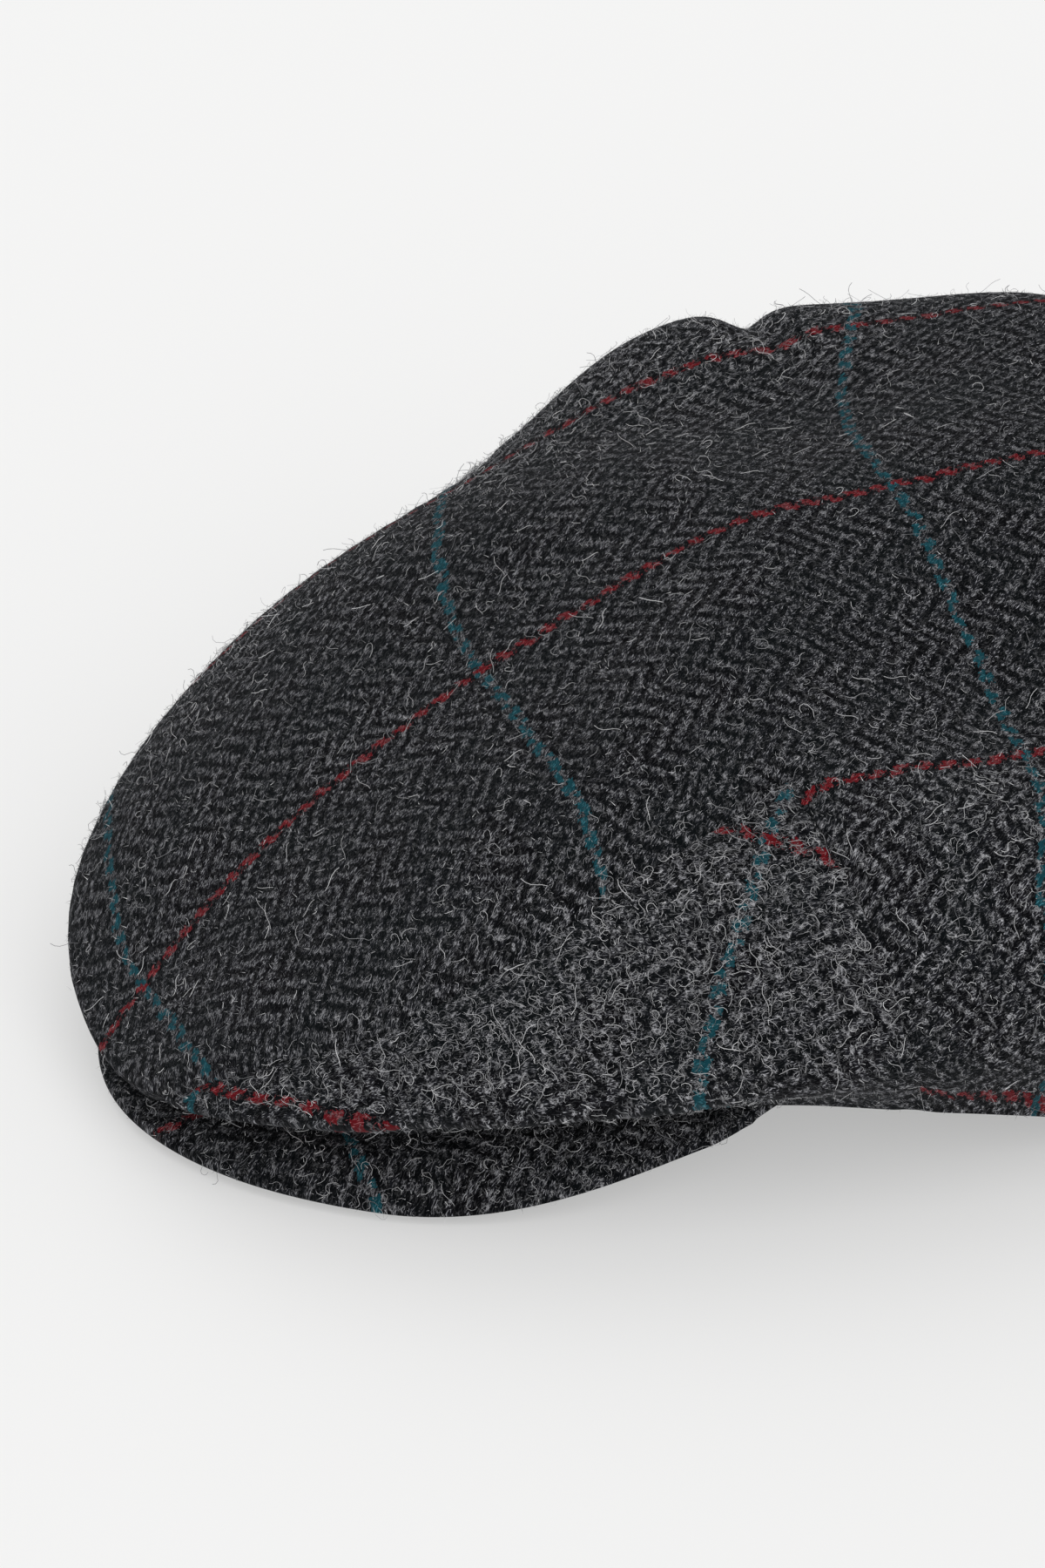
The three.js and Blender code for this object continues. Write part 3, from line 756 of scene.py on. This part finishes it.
for bends in curl_bends:
    bpy.ops.mesh.primitive_circle_add(
        vertices=3, radius=hair_thickness / 2, fill_type="NGON", rotation=(math.radians(90), 0, 0)
    )
    curl = bpy.context.object
    bpy.ops.object.mode_set(mode="EDIT")
    bpy.ops.mesh.select_all(action="SELECT")
    tip, heading = np.zeros(2), 90
    for bend_radius, bend, steps in bends:
        side = math.copysign(90, bend)
        inward = math.radians(heading + side)
        middle = tip + bend_radius * mm * np.array([math.cos(inward), math.sin(inward)])
        bpy.ops.mesh.spin(steps=steps, angle=-math.radians(bend), center=(*middle, 0), axis=(0, 0, 1))
        heading += bend
        outward = math.radians(heading - side)
        tip = middle + bend_radius * mm * np.array([math.cos(outward), math.sin(outward)])
    bpy.ops.mesh.select_all(action="SELECT")
    bpy.ops.mesh.remove_doubles(threshold=0.001 * mm)
    curl_shapes.append(shape_of(curl))

bpy.ops.mesh.primitive_cone_add(
    vertices=3, radius1=nap_thickness / 2, radius2=0, depth=nap_length, rotation=(math.radians(-90), 0, 0)
)
nap = bpy.context.object
bpy.ops.object.mode_set(mode="EDIT")
bpy.ops.mesh.select_all(action="SELECT")
bpy.ops.transform.translate(value=(0, nap_length / 2, 0))
nap_shape = shape_of(nap)

hair_greys = (0.10, 0.102, 0.11, 1), (0.66, 0.66, 0.67, 1)


def pale_wool():
    """Loose wool hairs, from dark grey to pale grey."""
    material = bpy.data.materials.new("pale_wool")
    material.use_nodes = True
    nodes, links = material.node_tree.nodes, material.node_tree.links
    shade = nodes.new("ShaderNodeAttribute")
    shade.attribute_name = "paleness"
    shades = nodes.new("ShaderNodeMix")
    shades.data_type = "RGBA"
    shades.inputs[6].default_value, shades.inputs[7].default_value = hair_greys
    links.new(shade.outputs["Fac"], shades.inputs["Factor"])
    wool = nodes["Principled BSDF"]
    links.new(shades.outputs[2], wool.inputs["Base Color"])
    wool.inputs["Roughness"].default_value = 0.7
    wool.inputs["Specular IOR Level"].default_value = 0.2
    return material


hair_material = pale_wool()

# How far the hairs are rooted below the cloth's face, in millimetres, and their sizes, slopes and greys.
# More of them stand on faces that look up, and towards the cap's two sides. None dips into the table.
root_depths, hair_sizes = (0.02, 0.25), (0.65, 1.5)
least_tilt, usual_roll = 2, 16
lowest_hair = 0.15 * mm
level_share, upward_gain, least_share, middle_share = 0.6, 1.5, 0.12, 0.5
dark_leaning = 1.5


def loose_hairs(name, cloth, shapes, count, steepest, seed):
    """One piece of many hairs, each set into the cloth's face at a random place, turn, tilt and size."""
    outer, normal = cloth
    chance = np.random.default_rng(seed)
    across, along = np.diff(outer, axis=0)[:, :-1], np.diff(outer, axis=1)[:-1]
    area = np.linalg.norm(np.cross(across, along), axis=-1)
    off_middle = np.abs(outer[:-1, :-1, 0])
    towards_side = np.clip((off_middle - side_fuzz_start) / (side_fuzz_full - side_fuzz_start), 0, 1)
    looking_up = np.clip(level_share + upward_gain * normal[:-1, :-1, 2], least_share, 1)
    area = area * looking_up * (middle_share + towards_side)
    spots = chance.choice(area.size, count, p=(area / area.sum()).ravel())
    column, row = np.unravel_index(spots, area.shape)
    share = chance.random((2, count, 1))
    up = normal[column, row]
    root = outer[column, row] + share[0] * across[column, row] + share[1] * along[column, row]
    root = root - up * chance.uniform(*root_depths, (count, 1)) * mm
    ahead = unit(np.cross(up, chance.normal(size=(count, 3))))
    beside = np.cross(ahead, up)
    tilt = np.radians(chance.uniform(least_tilt, steepest, (count, 1)))
    roll = np.radians(chance.normal(0, usual_roll, (count, 1)))
    forward = ahead * np.cos(tilt) + up * np.sin(tilt)
    above = up * np.cos(tilt) - ahead * np.sin(tilt)
    sideways = beside * np.cos(roll) + above * np.sin(roll)
    above = above * np.cos(roll) - beside * np.sin(roll)
    size = chance.uniform(*hair_sizes, (count, 1, 1))
    kind = chance.integers(len(shapes), size=count)
    places, faces, paleness = [], [], []
    so_far = 0
    for number, (corners, corner_faces) in enumerate(shapes):
        mine = kind == number
        axes = np.stack([sideways[mine], forward[mine], above[mine]], 1)
        hair_corners = root[mine][:, None] + size[mine] * (corners @ axes)
        places.append(hair_corners.reshape(-1, 3))
        starts = so_far + len(corners) * np.arange(mine.sum())
        faces += [tuple(start + k for k in face) for start in starts.tolist() for face in corner_faces]
        paleness.append(np.repeat(chance.random(mine.sum()) ** dark_leaning, len(corners)))
        so_far += len(corners) * int(mine.sum())
    places = np.concatenate(places)
    places[:, 2] = np.maximum(places[:, 2], lowest_hair)
    mesh = bpy.data.meshes.new(name)
    mesh.from_pydata(places.tolist(), [], faces)
    layer = mesh.attributes.new("paleness", "FLOAT", "POINT")
    layer.data.foreach_set("value", np.concatenate(paleness).astype(np.float32))
    mesh.materials.append(hair_material)
    hairs = bpy.data.objects.new(name, mesh)
    bpy.context.collection.objects.link(hairs)
    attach(hairs, "root")


# How steeply each kind stands at the most, in degrees, and how many there are on each piece of cloth.
curls_steepest, nap_steepest, strays_steepest = 26, 75, 40
for name, curl_count, nap_count, seed in (
    ("sewn_top_panel", 2700, 20000, 11),
    ("sewn_left_side_panel", 1900, 4500, 13),
    ("sewn_right_side_panel", 1400, 4000, 14),
    ("covered_peak", 900, 6000, 15),
):
    loose_hairs(f"{name}_hairs", cloth_faces[name], curl_shapes, curl_count, curls_steepest, seed)
    loose_hairs(f"{name}_nap", cloth_faces[name], [nap_shape], nap_count, nap_steepest, seed + 20)
stray_count = 2200
top_face = cloth_faces["sewn_top_panel"]
loose_hairs("sewn_top_panel_strays", top_face, curl_shapes, stray_count, strays_steepest, 12)

# Floor, light and camera. The cap lies on a plain pale floor of lit paper, in soft white light from all
# round, with one broad light from its left. The camera's place and lens follow the photo's view.
floor_width, floor_drop = 8, 0.2 * mm
paper_grey, paper_glow = 0.465, 0.40
studio_white, room_light = (1, 1, 0.995, 1), 0.8
key_strength, key_breadth, key_tilt, key_turn = 1.4, 60, 48, 80
bpy.ops.mesh.primitive_plane_add(size=floor_width, location=(0, 0, -floor_drop))
floor = bpy.context.object
floor.name = "studio_floor"
paper = bpy.data.materials.new("pale_lit_paper")
paper.use_nodes = True
lit_paper = paper.node_tree.nodes["Principled BSDF"].inputs
lit_paper["Base Color"].default_value = (paper_grey, paper_grey, paper_grey, 1)
lit_paper["Roughness"].default_value = 1
lit_paper["Specular IOR Level"].default_value = 0
lit_paper["Emission Color"].default_value = studio_white
lit_paper["Emission Strength"].default_value = paper_glow
floor.data.materials.append(paper)

world = bpy.data.worlds.new("soft_room")
world.use_nodes = True
world.node_tree.nodes["Background"].inputs["Color"].default_value = studio_white
world.node_tree.nodes["Background"].inputs["Strength"].default_value = room_light
bpy.context.scene.world = world
bpy.context.scene.view_settings.view_transform = "Standard"

bpy.ops.object.light_add(type="SUN", rotation=(math.radians(key_tilt), 0, math.radians(key_turn)))
key_light = bpy.context.object
key_light.name = "soft_key"
key_light.data.angle = math.radians(key_breadth)
key_light.data.energy = key_strength

# The peak's front lies at its pixel in the 1200 by 1800 frame, at the photo's scale.
photo_height = 1800
photo_middle = np.array([600, 900])
pixels_per_mm = 6.1
peak_front_pixel = np.array([137, 1258])
peak_front_mm = np.array([0, -135, 3])
camera_turn, camera_tilt = 69, 30
camera_distance = 1300
sensor = 36
turn, tilt = math.radians(camera_turn), math.radians(camera_tilt)
sight = np.array([-math.sin(turn) * math.cos(tilt), math.cos(turn) * math.cos(tilt), -math.sin(tilt)])
rightwards = np.array([math.cos(turn), math.sin(turn), 0])
upwards = np.cross(rightwards, sight)
offset = (peak_front_pixel - photo_middle) / pixels_per_mm
eye_mm = peak_front_mm - sight * camera_distance - rightwards * offset[0] + upwards * offset[1]
bpy.ops.object.camera_add(
    location=eye_mm * mm + plan_shift, rotation=(math.radians(90 - camera_tilt), 0, math.radians(camera_turn))
)
camera = bpy.context.object
camera.data.sensor_fit = "VERTICAL"
camera.data.sensor_height = sensor
camera.data.sensor_width = sensor
camera.data.lens = pixels_per_mm * camera_distance * sensor / photo_height
camera.data.clip_start = 0.05
bpy.context.scene.camera = camera
